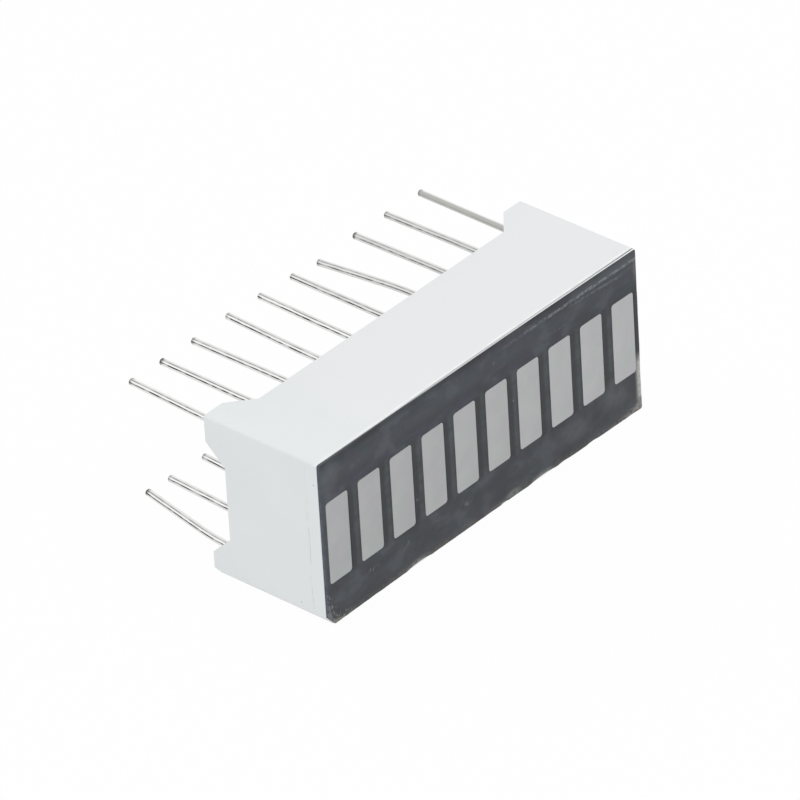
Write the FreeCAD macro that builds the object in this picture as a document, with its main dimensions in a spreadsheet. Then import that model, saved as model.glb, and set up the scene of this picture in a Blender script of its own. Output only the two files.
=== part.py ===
import FreeCAD, Part
import math
import os
import Sketcher

# Ten-segment LED bar graph with twenty round wire pins, in millimetres.
# It lies on one long side wall: the display face looks along -Y, the pins
# point along +Y, X runs along the row of windows and Z is up.
# The origin is the middle of the wall that it lies on.
# Every sub-part is drawn in one working frame, with its zero at the middle
# of the housing's front face, and is then placed on the wall it lies on.

# Driving sizes: name, value, what it is
DRIVING = [
    ("window_count", 10, "light windows in the row, and pins in each row"),
    ("pitch", 2.54, "from one window or pin to the next"),
    ("stack_gap", 0.1, "play that lets two displays stand end to end"),
    ("row_spacing", 7.62, "between the two rows of pins"),
    ("row_margin", 1.24, "from a row of pins to the outside of the long wall"),
    ("depth", 7.65, "from the housing's front face to the plane of its feet"),
    ("wall", 0.6, "skirt wall round the rear cavity"),
    ("well_depth", 4.3, "depth of the light wells, from face to board"),
    ("edge_radius", 0.15, "rounding of the housing's long edges"),
    ("cavity_radius", 0.5, "rounding of the rear cavity's corners"),
    ("corner_cut_side", 0.5, "corner cut at pin 1, along the length"),
    ("corner_cut_rise", 0.6, "corner cut at pin 1, up the end wall"),
    ("recess", 1.25, "how far the walls stop short of the feet"),
    ("foot_side", 1.45, "foot width along the long wall"),
    ("foot_side_slope", 1.45, "run of the foot's slope along the long wall"),
    ("foot_rise", 1.6, "foot height up the end wall"),
    ("foot_rise_slope", 1.2, "run of the foot's slope up the end wall"),
    ("window_width", 1.72, "light window at the face"),
    ("window_height", 5.02, "light window at the face"),
    ("window_radius", 0.18, "rounding of the window's corners"),
    ("base_width", 1.2, "light well at the board"),
    ("base_height", 2.4, "light well at the board"),
    ("mask_thick", 0.1, "dark layer on the face"),
    ("mask_inset", 0.02, "bare rim round the dark layer"),
    ("copper_thick", 0.05, "tracks on the board"),
    ("track_width", 0.9, "tracks on the board"),
    ("track_end", 0.44, "from a pin's centre to the end of its track"),
    ("track_gap", 0.25, "between a die's track and its bond track"),
    ("board_thick", 0.8, "circuit board"),
    ("board_gap", 0.1, "between the board's edge and the skirt"),
    ("hole_play", 0.06, "by how much a board hole is wider than its pin"),
    ("potting_sink", 0.22, "rear epoxy surface below the rim of the recess"),
    ("die_side", 0.3, "square light-emitting die"),
    ("die_thick", 0.2, "light-emitting die"),
    ("wire_diameter", 0.05, "bond wire"),
    ("wire_rise", 0.2, "top of the bond wire above its die"),
    ("wire_reach", 0.8, "from the die's centre to the wire's foot"),
    ("wire_drop", 0.08, "upright end of the bond wire above its track"),
    ("pin_diameter", 0.4, "round wire pin"),
    ("pin_length", 6.4, "pin beyond the plane of the feet"),
    ("pin_straight", 0.8, "straight stretch beyond the feet, before a bend"),
    ("bend_radius", 2.0, "middle line of a pin that is bent over"),
]

# The pins that lean, by number: by how many degrees, and which way, in
# degrees from +X towards the top. Pins are numbered as on the real part:
# 1 to 10 along the lower row from the cut corner, then 11 to 20 back
# along the upper row.
LEANING_PINS = {
    1: (8.9, 44),
    2: (5, 110),
    3: (3.6, 94),
    11: (2.3, -37),
    12: (0.95, -118),
    13: (0.85, -121),
    14: (5.15, -154),
    16: (1.4, 96),
    17: (2.35, 93),
    18: (2.4, 147),
    19: (1.95, 126),
    20: (1.95, 74),
}

# A pin that leans by more than this many degrees is bent round an arc, and
# the others have a plain kink
KINK_LIMIT = 6

# Sizes worked out from the driving ones
WORKED_OUT = [
    ("body_length", "window_count * pitch - stack_gap"),
    ("body_height", "row_spacing + 2 * row_margin"),
    ("first_place", "-(window_count - 1) / 2 * pitch"),
    ("row_span", "(window_count - 1) * pitch"),
    ("rim", "depth - recess"),
    ("long_gap_open", "body_length - 2 * foot_side"),
    ("long_gap_floor", "long_gap_open - 2 * foot_side_slope"),
    ("end_gap_open", "body_height - 2 * foot_rise"),
    ("end_gap_floor", "end_gap_open - 2 * foot_rise_slope"),
    ("cavity_length", "body_length - 2 * wall"),
    ("cavity_height", "body_height - 2 * wall"),
    ("mask_length", "body_length - 2 * mask_inset"),
    ("mask_height", "body_height - 2 * mask_inset"),
    ("mask_radius", "edge_radius - mask_inset"),
    ("board_front", "well_depth + copper_thick"),
    ("board_rear", "board_front + board_thick"),
    ("board_length", "cavity_length - 2 * board_gap"),
    ("board_height", "cavity_height - 2 * board_gap"),
    ("board_radius", "cavity_radius - board_gap"),
    ("hole_diameter", "pin_diameter + hole_play"),
    ("potting_top", "rim - potting_sink"),
    ("potting_thick", "potting_top - board_rear"),
    ("die_front", "well_depth - die_thick"),
    ("bond_track_start", "die_side / 2 + track_gap"),
    ("root_length", "depth - well_depth"),
]

# Flats laid round each hidden pin hole and round each bond wire
HOLE_FLATS = 8
WIRE_FLATS = 5

# Two places nearer than this are the same, and a feature that changes less
# volume than this has missed its body
CLOSE = 0.001
LEAST_CHANGE = 1e-7

doc = FreeCAD.newDocument("led_bar_graph")


def make_sheet():
    """Writes the driving sizes as plain numbers, and below them the formulas of the others."""
    rows = [(name, str(value), note) for name, value, note in DRIVING]
    for number, (lean, way) in LEANING_PINS.items():
        rows.append(("lean_%02d" % number, str(lean), "lean of this pin, in degrees"))
        rows.append(("way_%02d" % number, str(way), "which way this pin leans"))
    rows += [(name, "=" + formula, "worked out") for name, formula in WORKED_OUT]
    sheet = doc.addObject("Spreadsheet::Sheet", "Sizes")
    for row, (name, content, note) in enumerate(rows, start=1):
        sheet.set("A%d" % row, name)
        sheet.set("B%d" % row, content)
        sheet.setAlias("B%d" % row, name)
        sheet.set("C%d" % row, note)
    doc.recompute()
    return sheet


sizes = make_sheet()


def size(name):
    """The present value of a named size."""
    return float(sizes.get(name))


def new_body(name, side="0", up="0"):
    """A body in the working frame, moved along the row and up by two expressions."""
    body = doc.addObject("PartDesign::Body", name)
    body.Label = name
    place(body, side, "0", up)
    return body


def place(piece, side, back, up):
    """Puts a piece of the working frame on the wall that the display lies on."""
    piece.setExpression(".Placement.Base.x", side)
    piece.setExpression(".Placement.Base.y", "%s - Sizes.depth / 2" % back)
    piece.setExpression(".Placement.Base.z", "%s + Sizes.body_height / 2" % up)


def new_sketch(body, name, plane, offset="0"):
    """A sketch on one of the body's own planes, moved along the plane's normal."""
    sketch = body.newObject("Sketcher::SketchObject", name)
    support = [item for item in body.Origin.OriginFeatures if item.Role == plane]
    sketch.AttachmentSupport = [(support[0], "")]
    sketch.MapMode = "FlatFace"
    sketch.setExpression(".AttachmentOffset.Base.z", offset)
    return sketch


def front_sketch(body, name, back="0"):
    """A sketch seen from the display's front, some way back from the front face.

    Its own X and Y are the display's X and Z, and its normal points to the viewer.
    """
    return new_sketch(body, name, "XZ_Plane", "-(%s)" % back)


def line(sketch, start, end):
    """Adds a straight line and returns its number."""
    a = FreeCAD.Vector(start[0], start[1], 0)
    b = FreeCAD.Vector(end[0], end[1], 0)
    return sketch.addGeometry(Part.LineSegment(a, b), False)


def closed_lines(sketch, corners):
    """Adds a closed outline of straight lines and returns their numbers."""
    numbers = []
    for index, corner in enumerate(corners):
        numbers.append(line(sketch, corner, corners[(index + 1) % len(corners)]))
    for index, number in enumerate(numbers):
        follower = numbers[(index + 1) % len(numbers)]
        sketch.addConstraint(Sketcher.Constraint("Coincident", number, 2, follower, 1))
    return numbers


def drive(sketch, label, expression, kind, *where):
    """Adds a dimension of a sketch and binds it to an expression."""
    number = sketch.addConstraint(Sketcher.Constraint(kind, *where))
    sketch.renameConstraint(number, label)
    sketch.setExpression("Constraints." + label, expression)


def box_lines(sketch, label, left, bottom, width, height, guess):
    """A plain rectangle whose low corner, width and height follow four expressions."""
    x, y, w, h = guess
    corners = [(x, y), (x + w, y), (x + w, y + h), (x, y + h)]
    low, right, high, back = closed_lines(sketch, corners)
    for number in (low, high):
        sketch.addConstraint(Sketcher.Constraint("Horizontal", number))
    for number in (right, back):
        sketch.addConstraint(Sketcher.Constraint("Vertical", number))
    drive(sketch, label + "_left", left, "DistanceX", -1, 1, low, 1, x)
    drive(sketch, label + "_bottom", bottom, "DistanceY", -1, 1, low, 1, y)
    drive(sketch, label + "_width", width, "DistanceX", low, 1, low, 2, w)
    drive(sketch, label + "_height", height, "DistanceY", right, 1, right, 2, h)


def cut_corner_outline(sketch, length, height):
    """The display's outline: a rectangle with its low left corner cut off."""
    x = size(length) / 2
    y = size(height) / 2
    side = size("corner_cut_side")
    rise = size("corner_cut_rise")
    corners = [(-x + side, -y), (x, -y), (x, y), (-x, y), (-x, -y + rise)]
    low, right, high, left, cut = closed_lines(sketch, corners)
    sketch.addConstraint(Sketcher.Constraint("Horizontal", low))
    for number in (right, left):
        sketch.addConstraint(Sketcher.Constraint("Vertical", number))
    sketch.addConstraint(Sketcher.Constraint("Symmetric", high, 1, high, 2, -2))
    drive(sketch, "length", "Sizes." + length, "DistanceX", high, 2, high, 1, 2 * x)
    drive(sketch, "height", "Sizes." + height, "DistanceY", right, 1, right, 2, 2 * y)
    drive(sketch, "half_height", "Sizes.%s / 2" % height, "DistanceY", -1, 1, high, 1, y)
    drive(sketch, "cut_side", "Sizes.corner_cut_side", "DistanceX", cut, 1, cut, 2, side)
    drive(sketch, "cut_rise", "Sizes.corner_cut_rise", "DistanceY", cut, 2, cut, 1, rise)


def rounded_outline(sketch, width, height, radius):
    """A centred rectangle with four equal rounded corners."""
    x = size(width) / 2
    y = size(height) / 2
    r = size(radius)
    normal = FreeCAD.Vector(0, 0, 1)
    sides = [
        ((-x + r, -y), (x - r, -y)),
        ((x, -y + r), (x, y - r)),
        ((x - r, y), (-x + r, y)),
        ((-x, y - r), (-x, -y + r)),
    ]
    centres = [(x - r, -y + r), (x - r, y - r), (-x + r, y - r), (-x + r, -y + r)]
    straight = []
    round_ones = []
    for index, ends in enumerate(sides):
        straight.append(line(sketch, *ends))
        centre = FreeCAD.Vector(centres[index][0], centres[index][1], 0)
        start = (index - 1) * math.pi / 2
        arc = Part.ArcOfCircle(Part.Circle(centre, normal, r), start, start + math.pi / 2)
        round_ones.append(sketch.addGeometry(arc, False))
    for index in range(4):
        follower = straight[(index + 1) % 4]
        tangent = (straight[index], 2, round_ones[index], 1)
        sketch.addConstraint(Sketcher.Constraint("Tangent", *tangent))
        sketch.addConstraint(Sketcher.Constraint("Tangent", round_ones[index], 2, follower, 1))
    low, right, high, left = straight
    for number in (low, high):
        sketch.addConstraint(Sketcher.Constraint("Horizontal", number))
    for number in (right, left):
        sketch.addConstraint(Sketcher.Constraint("Vertical", number))
    for number in round_ones[1:]:
        sketch.addConstraint(Sketcher.Constraint("Equal", round_ones[0], number))
    middle = (round_ones[0], 3, round_ones[2], 3, -1, 1)
    sketch.addConstraint(Sketcher.Constraint("Symmetric", *middle))
    drive(sketch, "radius", "Sizes." + radius, "Radius", round_ones[0], r)
    drive(sketch, "width", "Sizes." + width, "DistanceX", left, 1, right, 1, 2 * x)
    drive(sketch, "height", "Sizes." + height, "DistanceY", low, 1, high, 1, 2 * y)


def foot_gap(sketch, floor, opening, along_y):
    """The gap between two feet: narrow at the rim of the wall, wide at the plane of the feet."""
    narrow = size(floor) / 2
    wide = size(opening) / 2
    low = size("rim")
    high = size("depth")
    corners = [(-narrow, low), (narrow, low), (wide, high), (-wide, high)]
    if along_y:
        corners = [(y, x) for x, y in corners]
    bottom, slope, top, other_slope = closed_lines(sketch, corners)
    axis, across, along = (-1, "DistanceY", "DistanceX") if along_y else (-2, "DistanceX", "DistanceY")
    sketch.addConstraint(Sketcher.Constraint("Symmetric", bottom, 1, bottom, 2, axis))
    sketch.addConstraint(Sketcher.Constraint("Symmetric", top, 1, top, 2, axis))
    drive(sketch, "floor", "Sizes." + floor, across, bottom, 1, bottom, 2, 2 * narrow)
    drive(sketch, "opening", "Sizes." + opening, across, top, 2, top, 1, 2 * wide)
    drive(sketch, "rim", "Sizes.rim", along, -1, 1, bottom, 1, low)
    drive(sketch, "recess", "Sizes.recess", along, slope, 1, slope, 2, high - low)


def circle(sketch, label, side, up, diameter, guess):
    """A circle whose centre and diameter follow three expressions."""
    x, y, d = guess
    ring = Part.Circle(FreeCAD.Vector(x, y, 0), FreeCAD.Vector(0, 0, 1), d / 2)
    number = sketch.addGeometry(ring, False)
    drive(sketch, label + "_diameter", diameter, "Diameter", number, d)
    for kind, axis, expression, value in (
        ("DistanceX", "side", side, x),
        ("DistanceY", "up", up, y),
    ):
        if expression == "0":
            line_through = -2 if axis == "side" else -1
            sketch.addConstraint(Sketcher.Constraint("PointOnObject", number, 3, line_through))
        else:
            drive(sketch, "%s_%s" % (label, axis), expression, kind, -1, 1, number, 3, value)
    return number


def flats_round(sketch, label, count, side, up, diameter, guess):
    """A regular outline of flats laid round a circle, which keeps small hidden holes light."""
    x, y, d = guess
    corner_radius = d / 2 / math.cos(math.pi / count)
    corners = []
    for index in range(count):
        angle = 2 * math.pi * (index - 0.5) / count - math.pi / 2
        corner = (x + corner_radius * math.cos(angle), y + corner_radius * math.sin(angle))
        corners.append(corner)
    flats = closed_lines(sketch, corners)
    inner = circle(sketch, label, side, up, diameter, guess)
    centre = FreeCAD.Vector(x, y, 0)
    ring = Part.Circle(centre, FreeCAD.Vector(0, 0, 1), corner_radius)
    outer = sketch.addGeometry(ring, True)
    sketch.toggleConstruction(inner)
    sketch.addConstraint(Sketcher.Constraint("Coincident", inner, 3, outer, 3))
    sketch.addConstraint(Sketcher.Constraint("Horizontal", flats[0]))
    sketch.addConstraint(Sketcher.Constraint("Tangent", flats[0], inner))
    for flat in flats:
        sketch.addConstraint(Sketcher.Constraint("PointOnObject", flat, 1, outer))
    for flat in flats[1:]:
        sketch.addConstraint(Sketcher.Constraint("Equal", flats[0], flat))


def pin_holes(sketch, diameter):
    """The holes of the first pin of each row, as seen from the front."""
    x = size("first_place")
    y = size("row_spacing") / 2
    d = size(diameter)
    bore = "Sizes." + diameter
    side = "Sizes.first_place"
    up = "Sizes.row_spacing / 2"
    flats_round(sketch, "upper", HOLE_FLATS, side, up, bore, (x, y, d))
    flats_round(sketch, "lower", HOLE_FLATS, side, "-" + up, bore, (x, -y, d))


def pad(body, name, sketch, length, to_the_rear=True):
    """Adds material from a front sketch, towards the rear or towards the viewer."""
    feature = body.newObject("PartDesign::Pad", name)
    feature.Profile = sketch
    feature.setExpression("Length", length)
    feature.Reversed = to_the_rear
    return feature


def pocket(body, name, sketch, length=None, reverse=False):
    """Cuts a sketch away, to a length or right through on both sides."""
    feature = body.newObject("PartDesign::Pocket", name)
    feature.Profile = sketch
    if length is None:
        feature.Type = "ThroughAll"
        feature.Midplane = True
    else:
        feature.setExpression("Length", length)
        feature.Reversed = reverse
    return feature


def row_pattern(body, name, feature):
    """Repeats a feature along the row, once for each window."""
    along = [item for item in body.Origin.OriginFeatures if item.Role == "X_Axis"]
    pattern = body.newObject("PartDesign::LinearPattern", name)
    pattern.Originals = [feature]
    pattern.Direction = (along[0], [""])
    pattern.setExpression("Length", "Sizes.row_span")
    pattern.setExpression("Occurrences", "Sizes.window_count")
    body.Tip = pattern
    return pattern


def edge_names(shape, wanted):
    """The names of the edges for which the test holds."""
    return ["Edge%d" % (n + 1) for n, edge in enumerate(shape.Edges) if wanted(edge)]


def round_square_corners(body, block, length, height, radius):
    """Rounds the three corners of a cut-corner outline that aren't cut."""
    half_length = size(length) / 2
    half_height = size(height) / 2

    def at_corner(edge):
        middle = edge.CenterOfMass
        off_side = abs(abs(middle.x) - half_length)
        off_top = abs(abs(middle.z) - half_height)
        return off_side < CLOSE and off_top < CLOSE

    rounding = body.newObject("PartDesign::Fillet", "RoundedCorners")
    rounding.Base = (block, edge_names(block.Shape, at_corner))
    rounding.setExpression("Radius", "Sizes." + radius)


def light_well(body, kind, side="0"):
    """One light well: window-sized at the face and narrower at the board, with flat sides."""
    well = body.newObject(kind, "LightWell")
    well.setExpression("Ymin", "0")
    well.setExpression("Ymax", "Sizes.well_depth")
    well.setExpression("Xmin", side + " - Sizes.window_width / 2")
    well.setExpression("Xmax", side + " + Sizes.window_width / 2")
    well.setExpression("Zmin", "-Sizes.window_height / 2")
    well.setExpression("Zmax", "Sizes.window_height / 2")
    well.setExpression("X2min", side + " - Sizes.base_width / 2")
    well.setExpression("X2max", side + " + Sizes.base_width / 2")
    well.setExpression("Z2min", "-Sizes.base_height / 2")
    well.setExpression("Z2max", "Sizes.base_height / 2")
    return well


def make_housing():
    """The white moulding: ten tapered light wells in front, a skirt behind, four corner feet."""
    body = new_body("housing")
    outline = front_sketch(body, "HousingOutline")
    cut_corner_outline(outline, "body_length", "body_height")
    block = pad(body, "Block", outline, "Sizes.depth")
    doc.recompute()
    round_square_corners(body, block, "body_length", "body_height", "edge_radius")

    cavity = front_sketch(body, "CavityOutline", "Sizes.depth")
    rounded_outline(cavity, "cavity_length", "cavity_height", "cavity_radius")
    pocket(body, "RearCavity", cavity, "Sizes.depth - Sizes.well_depth", reverse=True)

    long_gap = new_sketch(body, "LongWallGap", "XY_Plane")
    foot_gap(long_gap, "long_gap_floor", "long_gap_open", along_y=False)
    pocket(body, "LongWallRecess", long_gap)
    end_gap = new_sketch(body, "EndWallGap", "YZ_Plane")
    foot_gap(end_gap, "end_gap_floor", "end_gap_open", along_y=True)
    pocket(body, "EndWallRecess", end_gap)

    well = light_well(body, "PartDesign::SubtractiveWedge", "Sizes.first_place")
    row_pattern(body, "LightWells", well)
    return body


def make_face_mask():
    """The thin dark layer on the face, with a window over each light well."""
    body = new_body("face_mask")
    outline = front_sketch(body, "MaskOutline")
    cut_corner_outline(outline, "mask_length", "mask_height")
    layer = pad(body, "Layer", outline, "Sizes.mask_thick", to_the_rear=False)
    doc.recompute()
    round_square_corners(body, layer, "mask_length", "mask_height", "mask_radius")

    window = front_sketch(body, "MaskWindow", "-Sizes.mask_thick")
    rounded_outline(window, "window_width", "window_height", "window_radius")
    window.setExpression(".AttachmentOffset.Base.x", "Sizes.first_place")
    opening = pocket(body, "Window", window, "Sizes.mask_thick")
    row_pattern(body, "Windows", opening)
    return body


def row_place(index):
    """The expression for the place of a window or pin along the row."""
    return "Sizes.first_place + %d * Sizes.pitch" % index


def make_die(index):
    """A light-emitting die, a small block in the middle of its well's base."""
    die = doc.addObject("Part::Box", "led_die_%02d" % (index + 1))
    die.Label = die.Name
    for side in ("Length", "Width", "Height"):
        die.setExpression(side, "Sizes.die_side")
    die.setExpression("Width", "Sizes.die_thick")
    half = "Sizes.die_side / 2"
    place(die, "%s - %s" % (row_place(index), half), "Sizes.die_front", "-" + half)
    return die


def make_bond_wire(index):
    """The wire from a die's top up, over and down to the track below it."""
    body = new_body("bond_wire_%02d" % (index + 1), row_place(index))
    top = size("die_front")
    peak = top - size("wire_rise")
    landing = size("well_depth")
    kink = landing - size("wire_drop")
    reach = size("wire_reach")
    section = front_sketch(body, "WireSection", "Sizes.die_front")
    diameter = size("wire_diameter")
    guess = (0, 0, diameter)
    flats_round(section, "wire", WIRE_FLATS, "0", "0", "Sizes.wire_diameter", guess)
    path = new_sketch(body, "WirePath", "YZ_Plane")
    rise = line(path, (top, 0), (peak, 0))
    slope = line(path, (peak, 0), (kink, -reach))
    drop = line(path, (kink, -reach), (landing, -reach))
    path.addConstraint(Sketcher.Constraint("Coincident", rise, 2, slope, 1))
    path.addConstraint(Sketcher.Constraint("Coincident", slope, 2, drop, 1))
    path.addConstraint(Sketcher.Constraint("PointOnObject", rise, 1, -1))
    path.addConstraint(Sketcher.Constraint("Horizontal", rise))
    path.addConstraint(Sketcher.Constraint("Horizontal", drop))
    drive(path, "top", "Sizes.die_front", "DistanceX", -1, 1, rise, 1, top)
    drive(path, "rise", "Sizes.wire_rise", "DistanceX", rise, 2, rise, 1, top - peak)
    drive(path, "drop", "Sizes.wire_drop", "DistanceX", drop, 1, drop, 2, landing - kink)
    drive(path, "landing", "Sizes.well_depth", "DistanceX", -1, 1, drop, 2, landing)
    drive(path, "reach", "Sizes.wire_reach", "DistanceY", drop, 2, -1, 1, reach)
    wire = body.newObject("PartDesign::AdditivePipe", "Wire")
    wire.Profile = section
    wire.Spine = path
    wire.Transition = "Right corner"
    return body


def make_segment(index, die, wire):
    """The clear grey epoxy that fills one light well, cast round its die and bond wire."""
    number = "%02d" % (index + 1)
    body = new_body("segment_form_" + number, row_place(index))
    light_well(body, "PartDesign::AdditiveWedge")
    window = front_sketch(body, "WindowOutline")
    rounded_outline(window, "window_width", "window_height", "window_radius")
    pad(body, "WindowFill", window, "Sizes.mask_thick", to_the_rear=False)
    inner = doc.addObject("Part::MultiFuse", "segment_inner_" + number)
    inner.Shapes = [die, wire]
    segment = doc.addObject("Part::Cut", "segment_" + number)
    segment.Label = segment.Name
    segment.Base = body
    segment.Tool = inner
    return segment


def make_tracks():
    """The copper on the board: a die track to each upper pin, a bond track to each lower pin."""
    body = new_body("board_tracks")
    body.AllowCompound = True
    sketch = front_sketch(body, "TrackOutline", "Sizes.well_depth")
    left = "Sizes.first_place - Sizes.track_width / 2"
    width = "Sizes.track_width"
    pin_end = "(Sizes.row_spacing / 2 + Sizes.track_end)"
    x = size("first_place") - size("track_width") / 2
    w = size("track_width")
    end = size("row_spacing") / 2 + size("track_end")
    die_half = size("die_side") / 2
    bond = size("bond_track_start")
    die_bottom = "-Sizes.die_side / 2"
    die_height = "%s + Sizes.die_side / 2" % pin_end
    bond_height = "%s - Sizes.bond_track_start" % pin_end
    upper = (x, -die_half, w, end + die_half)
    lower = (x, -end, w, end - bond)
    box_lines(sketch, "die", left, die_bottom, width, die_height, upper)
    box_lines(sketch, "bond", left, "-" + pin_end, width, bond_height, lower)
    pin_holes(sketch, "pin_diameter")
    track = pad(body, "Track", sketch, "Sizes.copper_thick")
    row_pattern(body, "Tracks", track)
    return body


def make_board():
    """The circuit board that closes the wells and carries dies and pins."""
    body = new_body("circuit_board")
    outline = front_sketch(body, "BoardOutline", "Sizes.board_front")
    rounded_outline(outline, "board_length", "board_height", "board_radius")
    pad(body, "Board", outline, "Sizes.board_thick")
    holes = front_sketch(body, "PinHoles", "Sizes.board_front")
    pin_holes(holes, "hole_diameter")
    drilled = pocket(body, "FirstHoles", holes, "Sizes.board_thick")
    row_pattern(body, "Holes", drilled)
    return body


def make_potting():
    """The epoxy that seals the rear cavity round the pins."""
    body = new_body("potting")
    outline = front_sketch(body, "PottingOutline", "Sizes.board_rear")
    rounded_outline(outline, "cavity_length", "cavity_height", "cavity_radius")
    pad(body, "Epoxy", outline, "Sizes.potting_thick")
    holes = front_sketch(body, "PinPassages", "Sizes.board_rear")
    pin_holes(holes, "pin_diameter")
    passage = pocket(body, "FirstPassages", holes, "Sizes.potting_thick")
    row_pattern(body, "Passages", passage)
    return body


def kink_path(path, lean):
    """The middle line of a pin that leans a little: straight, and then a tip that leans."""
    seat = size("depth")
    straight = size("pin_straight")
    angle = math.radians(size(lean))
    tip_length = size("pin_length") - straight
    bend = (0, seat + straight)
    tip_end = (tip_length * math.sin(angle), bend[1] + tip_length * math.cos(angle))
    stem = line(path, (0, seat), bend)
    tip = line(path, bend, tip_end)
    path.addConstraint(Sketcher.Constraint("PointOnObject", stem, 1, -2))
    path.addConstraint(Sketcher.Constraint("Vertical", stem))
    path.addConstraint(Sketcher.Constraint("Coincident", stem, 2, tip, 1))
    drive(path, "seat", "Sizes.depth", "DistanceY", -1, 1, stem, 1, seat)
    drive(path, "straight", "Sizes.pin_straight", "DistanceY", stem, 1, stem, 2, straight)
    drive(path, "lean", "-Sizes.%s * 1 deg" % lean, "Angle", -2, 1, tip, 1, -angle)
    rest = "Sizes.pin_length - Sizes.pin_straight"
    drive(path, "tip", rest, "Distance", tip, 1, tip, 2, tip_length)


def bend_path(path, lean):
    """The middle line of a pin that is bent over: straight, and then an arc and a tip."""
    seat = size("depth")
    straight = size("pin_straight")
    radius = size("bend_radius")
    angle = math.radians(size(lean))
    arc_end = (radius * (1 - math.cos(angle)), seat + straight + radius * math.sin(angle))
    tip_length = size("pin_length") - straight - radius * angle
    direction = (math.sin(angle), math.cos(angle))
    tip_end = (arc_end[0] + tip_length * direction[0], arc_end[1] + tip_length * direction[1])
    stem = line(path, (0, seat), (0, seat + straight))
    ring = Part.Circle(
        FreeCAD.Vector(radius, seat + straight, 0), FreeCAD.Vector(0, 0, 1), radius
    )
    arc = path.addGeometry(Part.ArcOfCircle(ring, math.pi - angle, math.pi), False)
    tip = line(path, arc_end, tip_end)
    path.addConstraint(Sketcher.Constraint("PointOnObject", stem, 1, -2))
    path.addConstraint(Sketcher.Constraint("Vertical", stem))
    path.addConstraint(Sketcher.Constraint("Tangent", stem, 2, arc, 2))
    path.addConstraint(Sketcher.Constraint("Tangent", arc, 1, tip, 1))
    drive(path, "seat", "Sizes.depth", "DistanceY", -1, 1, stem, 1, seat)
    drive(path, "straight", "Sizes.pin_straight", "DistanceY", stem, 1, stem, 2, straight)
    drive(path, "bend", "Sizes.bend_radius", "Radius", arc, radius)
    drive(path, "lean", "-Sizes.%s * 1 deg" % lean, "Angle", -2, 1, tip, 1, -angle)
    arc_length = "Sizes.bend_radius * Sizes.%s * pi / 180" % lean
    rest = "Sizes.pin_length - Sizes.pin_straight - " + arc_length
    drive(path, "tip", rest, "Distance", tip, 1, tip, 2, tip_length)


def straight_path(path):
    """The middle line of a pin that stands straight."""
    seat = size("depth")
    length = size("pin_length")
    stem = line(path, (0, seat), (0, seat + length))
    path.addConstraint(Sketcher.Constraint("PointOnObject", stem, 1, -2))
    path.addConstraint(Sketcher.Constraint("Vertical", stem))
    drive(path, "seat", "Sizes.depth", "DistanceY", -1, 1, stem, 1, seat)
    drive(path, "length", "Sizes.pin_length", "DistanceY", stem, 1, stem, 2, length)


def make_pin(number):
    """A round wire pin: its free end beyond the feet, and its root back to the board's front."""
    per_row = int(size("window_count"))
    lower = number <= per_row
    index = number - 1 if lower else 2 * per_row - number
    row = "-Sizes.row_spacing / 2" if lower else "Sizes.row_spacing / 2"
    body = new_body("pin_%02d" % number, row_place(index), row)
    section = front_sketch(body, "PinSection", "Sizes.depth")
    diameter = size("pin_diameter")
    circle(section, "pin", "0", "0", "Sizes.pin_diameter", (0, 0, diameter))
    path = new_sketch(body, "PinPath", "XY_Plane")
    if number in LEANING_PINS:
        lean = "lean_%02d" % number
        follow = bend_path if size(lean) > KINK_LIMIT else kink_path
        follow(path, lean)
        body.Placement.Rotation = FreeCAD.Rotation(FreeCAD.Vector(0, -1, 0), 1)
        body.setExpression(".Placement.Rotation.Angle", "Sizes.way_%02d * 1 deg" % number)
    else:
        straight_path(path)
    free_end = body.newObject("PartDesign::AdditivePipe", "FreeEnd")
    free_end.Profile = section
    free_end.Spine = path
    free_end.Transition = "Right corner"
    free_end.Refine = False
    root = pad(body, "Root", section, "Sizes.root_length", to_the_rear=False)
    root.Refine = False
    return body


def make_nodes():
    """Builds every sub-part and returns them in the order of assembly."""
    nodes = [make_housing(), make_face_mask()]
    for index in range(int(size("window_count"))):
        die = make_die(index)
        wire = make_bond_wire(index)
        nodes += [die, wire, make_segment(index, die, wire)]
    nodes += [make_tracks(), make_board(), make_potting()]
    for number in range(1, 2 * int(size("window_count")) + 1):
        nodes.append(make_pin(number))
    return nodes


def check_model(nodes):
    """Stops if any object failed, or a sub-part is empty or broken, or a cut cut nothing."""
    for item in doc.Objects:
        states = set(item.State)
        if states & {"Invalid", "Error"}:
            raise RuntimeError("%s failed: %s" % (item.Label, sorted(states)))
    for node in nodes:
        if node.Shape.isNull() or not node.Shape.isValid():
            raise RuntimeError("%s has no sound shape" % node.Label)
    for item in doc.Objects:
        if item.isDerivedFrom("PartDesign::Feature") and item.BaseFeature:
            change = item.Shape.Volume - item.BaseFeature.Shape.Volume
            if abs(change) < LEAST_CHANGE:
                raise RuntimeError("%s changed nothing" % item.Label)


def write_nodes(nodes):
    """Writes each sub-part to its own file and prints a line for it."""
    os.makedirs("parts", exist_ok=True)
    for node in nodes:
        node.Shape.exportStep("parts/%s.step" % node.Label)
        shape = node.Shape
        print("%-16s solids %2d  volume %9.4f" % (node.Label, len(shape.Solids), shape.Volume))


model = make_nodes()
doc.recompute()
check_model(model)
write_nodes(model)
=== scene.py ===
import math

import bmesh
import bpy
import numpy as np
from mathutils import Matrix, Vector, noise


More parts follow.
